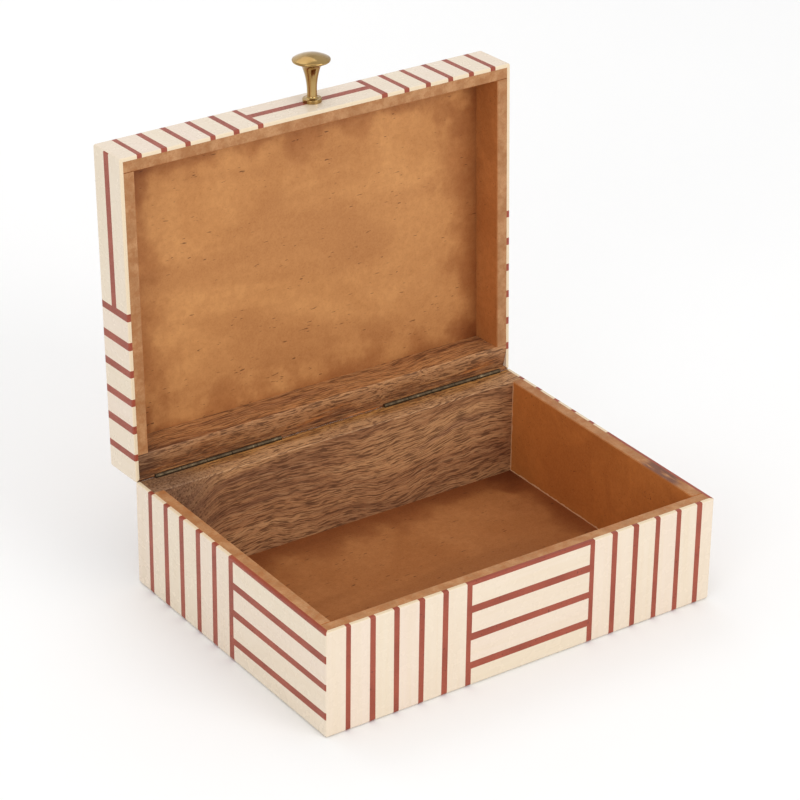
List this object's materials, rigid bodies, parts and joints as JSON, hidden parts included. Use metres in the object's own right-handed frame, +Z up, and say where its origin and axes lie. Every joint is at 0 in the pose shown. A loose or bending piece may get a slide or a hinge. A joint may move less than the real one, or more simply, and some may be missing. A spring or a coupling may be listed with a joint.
{
  "type": "inlaid wooden box",
  "caption": "Rectangular keepsake box clad in cream and red strip inlay, with a hinged lid that leans back open and a turned brass knob.",
  "frame": {"origin": "centre of the underside of the base", "axes": "+Z up; the front faces -Y and the hinges are at +Y; +X runs to the right along the front"},
  "size_m": [0.254, 0.2251, 0.28],
  "materials": {
    "stained_board": "stained fibreboard, matt, paler at its edges",
    "mango_wood": "open-pored solid wood, lightly oiled",
    "cream_strip": "polished cream plate, bone or resin",
    "red_resin": "polished brick-red resin",
    "hinge_steel": "dark antique steel",
    "screw_steel": "plain steel",
    "knob_brass": "polished brass"
  },
  "bodies": {
    "base": {"base_floor": "stained_board", "base_front_wall": "stained_board", "base_left_wall": "stained_board", "base_right_wall": "stained_board", "base_back_wall": "mango_wood", "base_front_strips": "cream_strip", "base_front_resin": "red_resin", "base_left_strips": "cream_strip", "base_left_resin": "red_resin", "base_right_strips": "cream_strip", "base_right_resin": "red_resin", "base_back_strips": "cream_strip", "base_back_resin": "red_resin", "hinge_left_base_leaf": "hinge_steel", "hinge_left_pin": "hinge_steel", "hinge_right_base_leaf": "hinge_steel", "hinge_right_pin": "hinge_steel", "hinge_base_screws": "screw_steel"},
    "lid": {"lid_front_wall": "stained_board", "lid_left_wall": "stained_board", "lid_right_wall": "stained_board", "lid_back_wall": "mango_wood", "lid_panel": "stained_board", "lid_front_strips": "cream_strip", "lid_front_resin": "red_resin", "lid_left_strips": "cream_strip", "lid_left_resin": "red_resin", "lid_right_strips": "cream_strip", "lid_right_resin": "red_resin", "lid_back_strips": "cream_strip", "lid_back_resin": "red_resin", "lid_top_strips": "cream_strip", "lid_top_resin": "red_resin", "hinge_left_lid_leaf": "hinge_steel", "hinge_right_lid_leaf": "hinge_steel", "hinge_lid_screws": "screw_steel", "knob": "knob_brass", "knob_screw": "screw_steel"}
  },
  "joints": [
    {"name": "lid_hinge", "type": "hinge", "parent": "base", "child": "lid", "pos_m": [0, 0.09385, 0.064], "axis": [-1, 0, 0], "range_deg": [-92.2, 0]}
  ]
}
